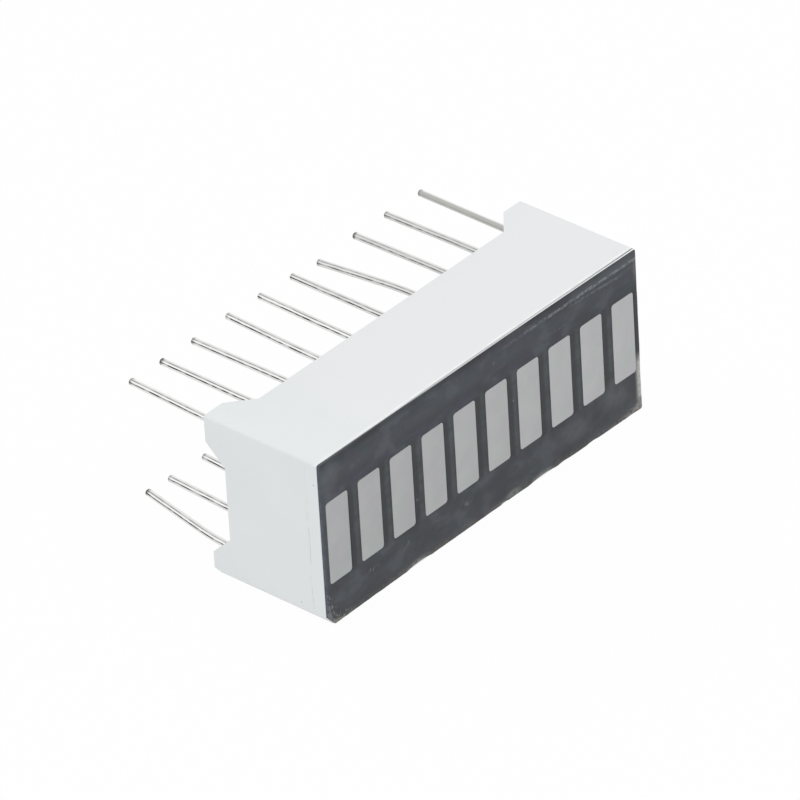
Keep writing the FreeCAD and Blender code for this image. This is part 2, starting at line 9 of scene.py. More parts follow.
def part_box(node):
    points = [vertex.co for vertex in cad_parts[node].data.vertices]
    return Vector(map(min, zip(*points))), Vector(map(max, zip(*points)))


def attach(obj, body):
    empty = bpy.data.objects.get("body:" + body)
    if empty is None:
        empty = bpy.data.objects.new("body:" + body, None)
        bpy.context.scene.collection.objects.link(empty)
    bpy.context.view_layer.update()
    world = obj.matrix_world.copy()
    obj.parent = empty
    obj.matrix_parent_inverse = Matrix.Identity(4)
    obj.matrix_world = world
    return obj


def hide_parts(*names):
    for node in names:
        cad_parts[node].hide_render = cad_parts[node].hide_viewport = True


# The looks of a ten-window LED bar graph that lies on one long side wall.
# The display face looks along -Y, the pins point along +Y and Z is up.
# The frame is in metres; MM turns millimetres into them.

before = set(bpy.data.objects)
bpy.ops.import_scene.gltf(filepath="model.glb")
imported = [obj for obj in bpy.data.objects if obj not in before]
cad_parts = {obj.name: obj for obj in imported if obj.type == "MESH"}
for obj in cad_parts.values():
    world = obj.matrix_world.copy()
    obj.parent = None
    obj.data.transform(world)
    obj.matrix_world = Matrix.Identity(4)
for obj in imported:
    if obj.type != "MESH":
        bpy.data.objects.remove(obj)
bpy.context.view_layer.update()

MM = 0.001
ROOT = "root"
housing_low, housing_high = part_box("housing")
film_low, film_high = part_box("face_mask")
potting_low, potting_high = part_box("potting")
WINDOW_NODES = sorted(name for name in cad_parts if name.startswith("segment_"))
PIN_NODES = sorted(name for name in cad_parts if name.startswith("pin_"))

# Places in millimetres
FACE_LEFT, FACE_FRONT, FACE_BOTTOM = film_low / MM
FACE_RIGHT, FACE_BACK, FACE_TOP = film_high / MM
END_WALL = housing_high.x / MM
FEET = housing_high.y / MM
MID_HEIGHT = (FACE_BOTTOM + FACE_TOP) / 2

# Soft edges, in millimetres and steps, what counts as sharp, as flat and as one place, and how
# close points are welded or cut
HOUSING_EDGE = 0.06
FILM_EDGE = 0.018
EDGE_SEGMENTS = 3
SHARP = math.radians(30)
FLAT = math.radians(0.5)
SAME_PLACE = 0.01
WELD = 0.001
CUT_CLOSE = 0.0001

# How far apart the windows stand, and where the outer one's middle lies, in millimetres
WINDOW_PITCH = 2.54
OUTER_WINDOW = 11.43

# The face stands off a little towards both ends, with a thin gap behind the film's right end.
# Towards the ends the housing follows with a share of the film's bow.
BOW = 0.08
HOUSING_SHARE = 0.5
GAP_START = -7.0
GAP_WIDTH = 0.06

# The worn edges of the film, in millimetres: its cells, how far in from an edge it is worn,
# and for each edge how uneven it is, in how many waves to a millimetre, in which row of noise
CELL_ALONG = 0.2
CELL_UP = 0.5
EDGE_ZONE = 0.35
LOWER_WOBBLE = 0.025
LOWER_WAVES = 1.4
LOWER_SEED = 3
RIGHT_WOBBLE = 0.015
RIGHT_WAVES = 1.1
RIGHT_SEED = 9

# Nicks in the film's edges: place along the edge, depth, half width
LOWER_NICKS = ((-5.4, 0.12, 1.0), (1.5, 0.06, 0.3), (4.6, 0.1, 1.0), (6.3, 0.04, 0.5), (8.5, 0.05, 0.5))
RIGHT_NICKS = ((2.2, 0.02, 1.6),)

# Marks on the housing: how far its parting line and the painted highlight line along its top edge lie
# behind the film, then for each speck its place, reach and strength
PARTING_LINE = 0.78
HIGHLIGHT_LINE = 0.11
SPECKS = (
    ((-12.65, -3.6, 8.79), 0.07, 0.55),
    ((-12.65, -2.22, 0.94), 0.07, 0.5),
    ((11.76, -3.48, 10.1), 0.05, 0.35),
    ((-8.6, 1.33, 10.1), 0.05, 0.2),
)

# Lines on the film: how far below its upper edge the long scratch, its shadow and the short
# scratch lie
SCRATCH_DEPTH = 0.58
SHADOW_DEPTH = 0.8
SHORT_DEPTH = 0.95

# Marks on the film: how far the scuffs lean in degrees, then for each mark its place along
# the film, height, half length, half height and strength
SCUFF_LEAN = 35
SCUFFS = (
    (-9.02, 1.71, 0.6, 0.3, 0.6),
    (-6.28, 1.71, 0.6, 0.28, 0.7),
    (-3.66, 1.85, 0.5, 0.18, 0.55),
    (-1.45, 1.65, 0.55, 0.35, 0.4),
    (-5.15, 3.91, 0.3, 0.14, 0.8),
    (1.16, 8.93, 0.5, 0.14, 0.5),
    (6.56, 8.3, 0.5, 0.16, 0.5),
    (2.58, 5.86, 0.07, 0.1, 1.0),
)
PALE_SPOTS = (
    (-11.9, 8.9, 1.0, 1.5, 0.75),
    (7.2, 1.5, 2.0, 1.1, 0.45),
    (10.5, 1.9, 1.7, 1.4, 0.5),
)
RUBBED = (
    (-5.5, 0.05, 1.3, 0.45, 0.8),
    (4.6, 0.05, 1.3, 0.4, 0.8),
    (2.2, 0.25, 0.9, 0.35, 0.6),
    (1.2, 0.0, 0.5, 0.25, 0.9),
    (12.6, 2.1, 0.35, 1.6, 0.9),
    (12.4, 0.3, 0.6, 0.35, 0.8),
    (12.6, 8.9, 0.4, 0.9, 0.3),
)

# Windows, in millimetres: their corners, how wide and high the back is as a share of the front,
# and how deep the front lies at each distance from its rim
WINDOW_RADIUS = 0.18
LEAST_RADIUS = 0.03
BACK_RADIUS = 0.05
BACK_SHARES = (0.7, 0.48)
WINDOW_STEPS = ((0.0, 0.004), (0.02, 0.001), (0.05, 0.003), (0.12, 0.007), (0.3, 0.011), (0.6, 0.013))
ARC_STEPS = 8

# Pins, in millimetres: their form, where and over what length a leaning one bends, and in how
# many steps each stretch is drawn
PIN_RADIUS = 0.2
PIN_SIDES = 48
TIP_ROUNDING = 0.1
TIP_TRIM = 0.1
BEND_START = 0.8
BEND_SPREAD = 1.4
ROOT_STEPS = 16
BEND_STEPS = 16
LEG_STEPS = 24
TIP_STEPS = 5

# The uneven wire: the deepest dent as a share of its radius, how the dents follow one another
# round it and along it, and how far apart two pins lie in the wire's own pattern
DENT = 0.012
DENTS_ROUND = 1.5
DENTS_ALONG = 0.7
PINS_APART = 11.0

# Pins by number: how dull the wire is, which also sets how strongly its painted matt shading shows, and
# how dark its cut end is
DULL_AND_SHADED_PINS = {11: 0.9, 12: 0.45, 13: 0.4, 14: 0.3, 15: 0.15}
DARK_TIPS = {1: 1.0, 2: 0.55, 3: 0.5, 13: 1.0, 15: 0.3, 16: 0.3, 17: 0.4, 19: 1.0, 20: 0.8}
USUAL_TIP = 0.6

# The surface of the rear epoxy, in millimetres: how far it climbs at a wall or pin and within
# what reach, how uneven it is and how far it sinks
POTTING_CELL = 0.1
CAVITY_RADIUS = 0.5
WALL_RISE = 0.11
WALL_REACH = 0.28
PIN_RISE = 0.07
PIN_REACH = 0.13
POUR_UNEVEN = 0.012
POUR_WAVES = 0.5
POUR_SEED = 4
POUR_SINK = 0.02

# Floor and light, in metres and watts: how white the floor and the surround are to light and
# to the camera, and each lamp's name, place, size and power
FLOOR_HALF = 1.5
FLOOR_LEVEL = 0.88
FLOOR_ROUGHNESS = 0.9
FLOOR_GLOW = (0.5, 0.965)
SURROUND = (0.8, 1.0)
LAMPS = (
    ("overhead", (-0.05, -0.1, 0.5), 0.5, 0.64),
    ("left_fill", (-0.5, -0.12, 0.12), 0.35, 0.03),
)

# The camera, from the photograph: where it looks from and how far it turns
CAMERA_PLACE = Vector((-0.33141, -0.304815, 0.30763))
CAMERA_AZIMUTH = math.radians(-47.233)
CAMERA_ELEVATION = math.radians(33.832)
CAMERA_ROLL = math.radians(-3.511)
CAMERA_LENS = 467.6
SENSOR = 36.0

# The sockets of a colour mix node: its share, its two colours and its result
MIX_SHARE = 0
MIX_FIRST = 6
MIX_SECOND = 7
MIX_RESULT = 2


class Surface:
    """A material being made: its shader and the nodes that feed it, with places in millimetres."""

    def __init__(self, name, **fixed):
        self.material = bpy.data.materials.new(name)
        self.material.use_nodes = True
        self.tree = self.material.node_tree
        self.shader = self.tree.nodes["Principled BSDF"]
        for label, value in fixed.items():
            self.shader.inputs[label].default_value = value
        place = self.tree.nodes.new("ShaderNodeTexCoord").outputs["Object"]
        self.place = self.scaled(place, 1 / MM)
        self.x, self.y, self.z = self.parts(self.place)

    def feed(self, socket, value):
        """Gives a socket a plain value, or links another node's output to it."""
        if isinstance(value, bpy.types.NodeSocket):
            self.tree.links.new(value, socket)
        else:
            socket.default_value = value

    def math(self, operation, *values):
        made = self.tree.nodes.new("ShaderNodeMath")
        made.operation = operation
        for socket, value in zip(made.inputs, values):
            self.feed(socket, value)
        return made.outputs[0]

    def add(self, first, second):
        return self.math("ADD", first, second)

    def minus(self, first, second):
        return self.math("SUBTRACT", first, second)

    def times(self, first, second):
        return self.math("MULTIPLY", first, second)

    def away(self, first, second):
        """How far one value is from another."""
        return self.math("ABSOLUTE", self.minus(first, second))

    def vector(self, operation, *values):
        made = self.tree.nodes.new("ShaderNodeVectorMath")
        made.operation = operation
        for socket, value in zip(made.inputs, values):
            self.feed(socket, value)
        return made

    def scaled(self, vector, factor):
        made = self.vector("SCALE", vector)
        made.inputs["Scale"].default_value = factor
        return made.outputs["Vector"]

    def parts(self, vector):
        made = self.tree.nodes.new("ShaderNodeSeparateXYZ")
        self.tree.links.new(vector, made.inputs[0])
        return made.outputs

    def distance(self, point):
        """How far the surface is from a point."""
        return self.vector("DISTANCE", self.place, point).outputs["Value"]

    def behind(self, front, bow):
        """How far the surface lies behind a front that stands off towards both ends."""
        set_back = self.times(self.times(self.x, self.x), bow / OUTER_WINDOW ** 2)
        return self.add(self.minus(self.y, front), set_back)

    def patch(self, x, z, half_x, half_z):
        """1 at a place on the face and 0 outside an oval round it."""
        offset = self.vector("SUBTRACT", self.place, (x, 0, z)).outputs["Vector"]
        shares = self.vector("MULTIPLY", offset, (1 / half_x, 0, 1 / half_z)).outputs["Vector"]
        return self.ramp(self.vector("LENGTH", shares).outputs["Value"], 1.0, 0.25)

    def noise(self, size, detail=2.0, stretch=(1, 1, 1), place=None, seed=0.0):
        """Soft noise from 0 to 1 with grains of about that size."""
        spread = self.vector("MULTIPLY", place or self.place, stretch).outputs["Vector"]
        shifted = self.vector("ADD", spread, (seed, -seed, 2 * seed)).outputs["Vector"]
        made = self.tree.nodes.new("ShaderNodeTexNoise")
        self.tree.links.new(shifted, made.inputs["Vector"])
        made.inputs["Scale"].default_value = 1 / size
        made.inputs["Detail"].default_value = detail
        return made.outputs["Fac"]

    def swing(self, value, reach):
        """Noise from 0 to 1 turned into a swing to both sides of 0."""
        return self.times(self.minus(value, 0.5), reach)

    def ramp(self, value, start, end, low=0.0, high=1.0):
        """Turns a value from start to end smoothly into low to high, and holds it there outside."""
        made = self.tree.nodes.new("ShaderNodeMapRange")
        made.interpolation_type = "SMOOTHSTEP"
        if start > end:
            start, end, low, high = end, start, high, low
        for label, number in (
            ("Value", value),
            ("From Min", start),
            ("From Max", end),
            ("To Min", low),
            ("To Max", high),
        ):
            self.feed(made.inputs[label], number)
        return made.outputs[0]

    def band(self, value, middle, half_width, softness):
        """1 near the middle of a band and 0 outside it."""
        return self.ramp(self.away(value, middle), half_width + softness, half_width)

    def mix(self, share, first, second):
        """A colour between two colours."""
        made = self.tree.nodes.new("ShaderNodeMix")
        made.data_type = "RGBA"
        self.feed(made.inputs[MIX_SHARE], share)
        self.feed(made.inputs[MIX_FIRST], first)
        self.feed(made.inputs[MIX_SECOND], second)
        return made.outputs[MIX_RESULT]

    def over(self, base, colour, share, strength=None):
        """A colour laid over another one, where the share says and at that strength."""
        if strength is not None:
            share = self.times(share, strength)
        return self.mix(share, base, colour)

    def marks(self, base, colour, places, texture):
        """A colour laid over another one at oval places on the face, through a texture."""
        for x, z, half_x, half_z, strength in places:
            mark = self.times(self.patch(x, z, half_x, half_z), texture)
            base = self.over(base, colour, mark, strength)
        return base

    def bump(self, height, depth, before=None):
        """A bump of that depth in millimetres, on top of an earlier one."""
        made = self.tree.nodes.new("ShaderNodeBump")
        made.inputs["Distance"].default_value = depth * MM
        self.tree.links.new(height, made.inputs["Height"])
        if before is not None:
            self.tree.links.new(before, made.inputs["Normal"])
        return made.outputs[0]

    def turned(self, degrees):
        """The place, turned about the Y axis."""
        made = self.tree.nodes.new("ShaderNodeMapping")
        self.tree.links.new(self.place, made.inputs["Vector"])
        made.inputs["Rotation"].default_value = (0, math.radians(degrees), 0)
        return made.outputs["Vector"]

    def attribute(self, name):
        made = self.tree.nodes.new("ShaderNodeAttribute")
        made.attribute_name = name
        return made.outputs["Vector"]

    def finish(self, colour, roughness, normal):
        for label, value in (("Base Color", colour), ("Roughness", roughness), ("Normal", normal)):
            self.feed(self.shader.inputs[label], value)
        return self.material


def grey(level, tint=(1.0, 1.0, 1.0)):
    """An opaque colour: a linear grey level with a slight tint."""
    return tuple(level * part for part in tint) + (1.0,)


PLASTIC_DARK = grey(0.795, (0.958, 1.0, 1.004))
PLASTIC_LIGHT = grey(0.82, (0.972, 1.0, 1.01))
# The top's painted light tint
PLASTIC_TOP_LIGHT_TINT = grey(0.808, (0.992, 1.0, 1.013))
PLASTIC_STRIP = grey(0.81, (0.945, 1.0, 1.022))
# Painted highlight along the top front edge
PLASTIC_HIGHLIGHT = grey(0.93, (0.99, 1.0, 1.0))
PARTING_GREY = grey(0.6, (0.95, 1.0, 0.98))
SPECK_GREY = grey(0.3)
# Painted shade in the seam under the film's top edge
SEAM_SHADE = grey(0.2, (0.97, 1.0, 1.04))

INK_TEAL = grey(0.022, (0.43, 1.0, 1.38))
INK_VIOLET = grey(0.019, (0.88, 0.9, 1.9))
INK_NEUTRAL = grey(0.027, (1.08, 1.0, 1.1))
INK_LIGHT = grey(0.052, (0.83, 1.0, 1.22))
INK_STRIPE = grey(0.052, (0.83, 1.0, 1.03))
INK_PALE = grey(0.085, (0.9, 1.0, 1.14))
INK_DARK = grey(0.01, (0.9, 1.0, 1.7))
INK_BLACK = grey(0.003, (0.9, 1.0, 2.0))

SCRATCH_GREY = grey(0.2, (0.93, 1.0, 1.1))
SCUFF_GREY = grey(0.2, (0.93, 1.0, 1.03))
RUBBED_TAN = grey(0.085, (1.12, 1.0, 0.8))
RUBBED_GREY = grey(0.22, (1.0, 1.0, 0.95))
RUBBED_WHITE = grey(0.5, (1.0, 1.0, 0.97))
LEFT_STRIP_GREY = grey(0.09, (0.75, 1.0, 1.35))
GRAIN_BLUISH = grey(0.17, (0.92, 1.0, 1.06))
GRAIN_TAN = grey(0.21, (1.06, 1.0, 0.9))
GRAIN_PALE = grey(0.24, (1.03, 1.0, 0.93))
# The film's cut edge: dark along the top where the painted highlight fades, the painted highlight
# itself, and painted shade on the other edges
CUT_DARK = grey(0.06, (0.9, 1.0, 1.15))
CUT_TOP_HIGHLIGHT = grey(0.95, (0.985, 1.0, 1.01))
CUT_SIDE_SHADE_DEEP = grey(0.04, (0.8, 1.0, 1.4))
CUT_SIDE_SHADE_SOFT = grey(0.09, (0.8, 1.0, 1.35))

EPOXY_DARK = (grey(0.38, (0.955, 1.01, 0.985)), grey(0.38, (0.995, 0.985, 1.03)))
EPOXY_LIGHT = (grey(0.475, (0.955, 1.005, 0.985)), grey(0.475, (0.995, 0.985, 1.025)))

WIRE_GREY = grey(0.84)
WIRE_BRIGHT = grey(0.98, (1.0, 0.998, 0.99))
# Painted matt shading of the dull wires: its lit and its shaded colour
WIRE_MATT_PAINTED_LIT = grey(0.97)
WIRE_MATT_PAINTED_SHADE = grey(0.43, (1.0, 0.995, 0.95))
WIRE_STAIN = grey(0.45, (1.0, 0.98, 0.93))
WIRE_END = grey(0.12, (1.0, 0.99, 0.96))


def housing_material():
    """White moulded plastic: a fine skin, faint flow marks, a parting line and a few specks, with a
    painted light tint on the top, a painted highlight line along its front edge and painted shade in the
    seam under the film.
    """
    s = Surface("white_moulded_plastic", IOR=1.5)
    cloud = s.noise(3.5, detail=3)
    grain = s.noise(0.12, detail=2, seed=3)
    tone = s.add(s.ramp(cloud, 0.3, 0.7, 0, 0.6), s.times(grain, 0.4))
    shade = s.mix(tone, PLASTIC_DARK, PLASTIC_LIGHT)
    # The top is tinted a little warmer than the walls, more so towards the right: a painted light tint.
    lit_top_tint = s.times(s.ramp(s.z, FACE_TOP - 0.1, FACE_TOP - 0.02), s.ramp(s.x, -11.0, -4.0, 0.1, 0.8))
    shade = s.over(shade, PLASTIC_TOP_LIGHT_TINT, lit_top_tint)

    # The end walls: a broken parting line, with a slightly paler strip in front of it
    on_end = s.ramp(s.math("ABSOLUTE", s.x), END_WALL - 0.05, END_WALL - 0.01)
    line_y = FACE_BACK + PARTING_LINE
    wander = s.swing(s.noise(2.5, seed=7), 0.25)
    line = s.band(s.add(s.y, wander), line_y, 0.012, 0.035)
    dashes = s.ramp(s.noise(0.45, detail=1, stretch=(1, 0.3, 1), seed=12), 0.42, 0.6)
    low_half = s.ramp(s.z, 8.6, 6.2, 0.25, 1.0)
    parting = s.times(s.times(line, dashes), s.times(on_end, low_half))
    strip = s.times(s.ramp(s.y, line_y + 0.1, line_y - 0.1), on_end)
    shade = s.over(shade, PLASTIC_STRIP, strip, 0.6)
    shade = s.over(shade, PARTING_GREY, parting, 0.55)
    for place, reach, strength in SPECKS:
        shade = s.over(shade, SPECK_GREY, s.ramp(s.distance(place), reach, reach * 0.4), strength)

    # The front edge of the top: a painted highlight line, and painted shade in the seam where the film
    # stands off
    on_top = s.ramp(s.z, FACE_TOP - 0.12, FACE_TOP - 0.08)
    behind_front = s.behind(FACE_BACK, HOUSING_SHARE * BOW)
    edge_highlight = s.times(s.band(behind_front, HIGHLIGHT_LINE, 0.04, 0.04), on_top)
    edge_highlight = s.times(edge_highlight, s.ramp(s.noise(0.9, seed=19), 0.35, 0.6, 0.2, 0.8))
    shade = s.over(shade, PLASTIC_HIGHLIGHT, edge_highlight)
    # Painted shade in the gap behind the film's top edge
    seam_shade = s.times(s.times(s.ramp(behind_front, 0.05, 0.015), on_top), s.ramp(s.x, -7.5, -3.0))
    shade = s.over(shade, SEAM_SHADE, seam_shade, 0.45)

    roughness = s.ramp(grain, 0.3, 0.7, 0.4, 0.55)
    normal = s.bump(s.noise(0.07, detail=3, seed=8), 0.002)
    normal = s.bump(cloud, 0.01, before=normal)
    normal = s.bump(s.minus(strip, s.times(parting, 2)), 0.006, before=normal)
    return s.finish(shade, roughness, normal)


class FilmSurface(Surface):
    """The film's material being made, with the noises and edge distances that its marks share."""

    def __init__(self):
        super().__init__("dark_printed_film", IOR=1.48)
        self.fine = self.noise(0.22, detail=3, seed=5)
        self.cloud = self.noise(1.2, detail=4, stretch=(0.7, 1, 1), seed=2)
        self.smear = self.noise(0.6, detail=3, stretch=(0.2, 1, 1.2), seed=17)
        self.to_left = self.minus(self.x, FACE_LEFT)
        self.to_right = self.minus(FACE_RIGHT, self.x)
        self.to_bottom = self.minus(self.z, FACE_BOTTOM)
        self.to_top = self.minus(FACE_TOP, self.z)


def clouded_ink(s):
    """The film's ground: clouds of teal and violet, with lighter and darker patches, and painted light
    that lightens it towards the lower edge.
    """
    hue = s.noise(1.1, detail=4, stretch=(0.7, 1, 1), seed=11)
    ink = s.mix(s.ramp(hue, 0.43, 0.57), INK_TEAL, INK_VIOLET)
    ink = s.over(ink, INK_NEUTRAL, s.ramp(s.to_bottom, 3.2, 1.6, 0, 0.5))
    ink = s.over(ink, INK_LIGHT, s.ramp(s.cloud, 0.5, 0.63, 0, 0.8))
    ink = s.over(ink, INK_DARK, s.ramp(s.cloud, 0.5, 0.39, 0, 0.8))
    ink = s.over(ink, INK_LIGHT, s.ramp(s.smear, 0.55, 0.75, 0, 0.35))
    ink = s.over(ink, INK_LIGHT, s.ramp(s.fine, 0.5, 0.75, 0, 0.2))
    # Lighter towards the lower edge: painted light.
    ink = s.over(ink, INK_LIGHT, s.ramp(s.to_bottom, 2.6, 0.9, 0, 0.2))
    ink = s.over(ink, INK_LIGHT, s.band(s.to_top, 1.2, 0.25, 0.5), 0.3)
    top_line = s.times(s.ramp(s.to_top, 0.4, 0.1), s.ramp(s.x, -12.0, -7.0, 0.4, 1.0))
    ink = s.over(ink, INK_BLACK, top_line, s.ramp(s.cloud, 0.35, 0.6, 0.85, 0.4))
    right_top = s.times(s.ramp(s.x, 7.0, 12.0), s.ramp(s.to_top, 1.3, 0.5))
    ink = s.over(ink, INK_PALE, right_top, 0.4)
    return s.over(ink, INK_BLACK, s.ramp(s.x, 3.0, 9.0, 0, 0.15))


def with_bars(s, ink):
    """The bars between the windows: dark at the left, a paler stripe at the right."""
    bars = s.band(s.z, MID_HEIGHT, 2.3, 0.5)
    along = s.math("FLOORED_MODULO", s.add(s.x, OUTER_WINDOW), WINDOW_PITCH)
    dark_side = s.times(s.band(along, 1.0, 0.12, 0.15), bars)
    pale_side = s.times(s.band(along, 1.42, 0.06, 0.14), bars)
    ink = s.over(ink, INK_DARK, bars, 0.5)
    ink = s.over(ink, INK_BLACK, dark_side, 0.7)
    return s.over(ink, INK_STRIPE, pale_side, s.ramp(s.smear, 0.35, 0.6, 0.15, 0.6))


def scratches(s):
    """The long scratch below the upper edge with a short one under it, and the shadow line."""
    level = s.add(s.z, s.swing(s.noise(0.9, seed=31), 0.08))
    level = s.add(level, s.swing(s.noise(0.2, detail=3, seed=35), 0.16))
    broken = s.ramp(s.noise(0.25, detail=4, stretch=(0.8, 1, 1), seed=33), 0.42, 0.56, 0.15, 1.0)
    fading = s.ramp(s.x, -0.5, 9.0)
    long_one = s.times(s.band(level, FACE_TOP - SCRATCH_DEPTH, 0.035, 0.09), fading)
    tilted = s.add(level, s.times(s.minus(s.x, 9.8), 0.06))
    short_one = s.band(tilted, FACE_TOP - SHORT_DEPTH, 0.02, 0.1)
    short_one = s.times(short_one, s.band(s.x, 9.4, 1.4, 1.2))
    scratch = s.times(s.math("MAXIMUM", long_one, s.times(short_one, 0.5)), broken)
    shadow = s.times(s.band(level, FACE_TOP - SHADOW_DEPTH, 0.02, 0.08), fading)
    return scratch, shadow


def with_scuffs(s, ink):
    """Small scuffs of leaning flecks."""
    leaning = s.turned(SCUFF_LEAN)
    flecks = s.noise(0.12, detail=2, stretch=(0.35, 1, 1.1), place=leaning, seed=37)
    return s.marks(ink, SCUFF_GREY, SCUFFS, s.ramp(flecks, 0.5, 0.64))


def with_rubbed_places(s, ink):
    """The worn places of the film: its lower edge, its two ends, and paler spots."""
    tan_need = s.ramp(s.to_bottom, 0.0, 0.6, 0.36, 0.7)
    tan = s.ramp(s.minus(s.noise(0.2, detail=4, seed=47), tan_need), -0.04, 0.12)
    tan_patch = s.ramp(s.noise(1.5, detail=2, seed=53), 0.4, 0.55, 0.3, 1.0)
    tan_patch = s.times(tan_patch, s.ramp(s.to_bottom, 0.7, 0.4))
    ink = s.over(ink, RUBBED_TAN, s.times(tan, tan_patch), 0.55)
    ink = s.marks(ink, INK_PALE, PALE_SPOTS, s.ramp(s.cloud, 0.35, 0.6, 0.5, 1.0))
    ink = s.marks(ink, RUBBED_GREY, RUBBED, s.ramp(s.fine, 0.35, 0.6, 0.25, 1.0))
    right_rub = s.times(s.ramp(s.to_right, 0.5, 0.1), s.band(s.z, 2.0, 0.9, 0.9))
    ink = s.over(ink, RUBBED_WHITE, right_rub, s.ramp(s.fine, 0.3, 0.55, 0.5, 0.9))
    left_strip = s.times(s.ramp(s.to_left, 0.2, 0.05), s.ramp(s.fine, 0.3, 0.7, 0.5, 1.0))
    return s.over(ink, LEFT_STRIP_GREY, left_strip, 0.5)


def with_grainy_corners(s, ink):
    """The lower corners, rubbed down to pale grains."""
    grains = s.noise(0.15, detail=3, stretch=(1, 0.5, 1), seed=41)
    up_the_side = s.add(s.times(s.to_left, 0.9), s.times(s.to_bottom, 0.24))
    along_the_edge = s.add(s.times(s.to_left, 0.26), s.times(s.to_bottom, 1.1))
    from_corner = s.math("MINIMUM", s.add(up_the_side, 0.05), along_the_edge)
    grain_need = s.ramp(from_corner, 0.1, 0.8, 0.34, 0.6)
    left_grains = s.ramp(s.minus(grains, grain_need), 0.0, 0.08)
    left_grains = s.times(left_grains, s.ramp(from_corner, 1.0, 0.6))
    left_colour = s.mix(s.ramp(s.to_left, 0.2, 0.6), GRAIN_BLUISH, GRAIN_TAN)
    ink = s.over(ink, left_colour, left_grains, 0.75)
    from_right_corner = s.add(s.times(s.to_right, 0.25), s.times(s.to_bottom, 1.3))
    right_grains = s.ramp(grains, 0.42, 0.58, 0.1, 1.0)
    right_grains = s.times(s.ramp(from_right_corner, 0.95, 0.4), right_grains)
    return s.over(ink, GRAIN_PALE, right_grains, 0.7)


def with_cut_edge_light_and_shade(s, ink):
    """The film's cut edge: a painted highlight along the top that fades to dark towards the left, and
    dark bluish painted shade on the other edges.
    """
    cut_edge = s.ramp(s.behind(FACE_FRONT, BOW), 0.006, 0.018)
    near_side = s.math("MINIMUM", s.math("MINIMUM", s.to_left, s.to_right), s.to_bottom)
    outer = s.ramp(s.math("MINIMUM", near_side, s.to_top), 0.06, 0.03)
    highlight_share = s.add(s.ramp(s.x, -6.5, -1.0, 0, 0.85), s.ramp(s.x, -1.0, 8.0, 0, 0.15))
    top_highlight = s.mix(highlight_share, CUT_DARK, CUT_TOP_HIGHLIGHT)
    side_shade = s.mix(s.ramp(s.fine, 0.3, 0.7), CUT_SIDE_SHADE_DEEP, CUT_SIDE_SHADE_SOFT)
    edge_light_and_shade = s.mix(s.ramp(s.to_top, 0.06, 0.03), side_shade, top_highlight)
    return s.over(ink, edge_light_and_shade, cut_edge, outer)


def film_material():
    """The dark printed film: clouded ink lightened by painted light towards its lower edge, streaks,
    scuffs, rubbed edges, and a painted highlight and painted shade on its cut edges.
    """
    s = FilmSurface()
    ink = with_bars(s, clouded_ink(s))
    scratch, shadow = scratches(s)
    ink = s.over(ink, INK_BLACK, shadow, 0.5)
    ink = s.over(ink, SCRATCH_GREY, scratch, 0.85)
    ink = with_scuffs(s, ink)
    ink = with_rubbed_places(s, ink)
    ink = with_grainy_corners(s, ink)
    shade = with_cut_edge_light_and_shade(s, ink)
    roughness = s.add(s.ramp(s.fine, 0.2, 0.8, 0.3, 0.42), s.times(scratch, 0.15))
    normal = s.bump(s.fine, 0.004)
    normal = s.bump(s.cloud, 0.01, before=normal)
    normal = s.bump(s.times(scratch, -1.0), 0.006, before=normal)
    return s.finish(shade, roughness, normal)


def window_material():
    """Grey diffusing epoxy behind a fine skin: slightly cloudy, with a faint shift of hue, and lighter
    towards the right end of the face by painted light.
    """
    s = Surface("grey_diffusing_epoxy", IOR=1.52)
    cloud = s.noise(1.1, detail=3)
    hue = s.noise(1.1, detail=3, seed=15)
    fine = s.noise(0.09, detail=2, seed=4)
    across = s.math("FLOORED_MODULO", s.add(s.x, OUTER_WINDOW + WINDOW_PITCH / 2), WINDOW_PITCH)
    # The tone rises towards the right end of the face: a painted light gradient. Each window is also a
    # little lighter towards its left, and clouds and fine grain vary it.
    tone = s.add(s.ramp(s.x, -14.0, 14.0, 0.0, 0.55), s.ramp(across, 0.5, 2.0, 0.2, 0.0))
    tone = s.add(tone, s.ramp(cloud, 0.3, 0.7, 0.0, 0.25))
    tone = s.add(tone, s.swing(fine, 0.35))
    to_violet = s.ramp(hue, 0.4, 0.6)
    dark = s.mix(to_violet, *EPOXY_DARK)
    light = s.mix(to_violet, *EPOXY_LIGHT)
    roughness = s.ramp(fine, 0.3, 0.7, 0.36, 0.48)
    normal = s.bump(fine, 0.0015)
    return s.finish(s.mix(tone, dark, light), roughness, s.bump(cloud, 0.006, before=normal))


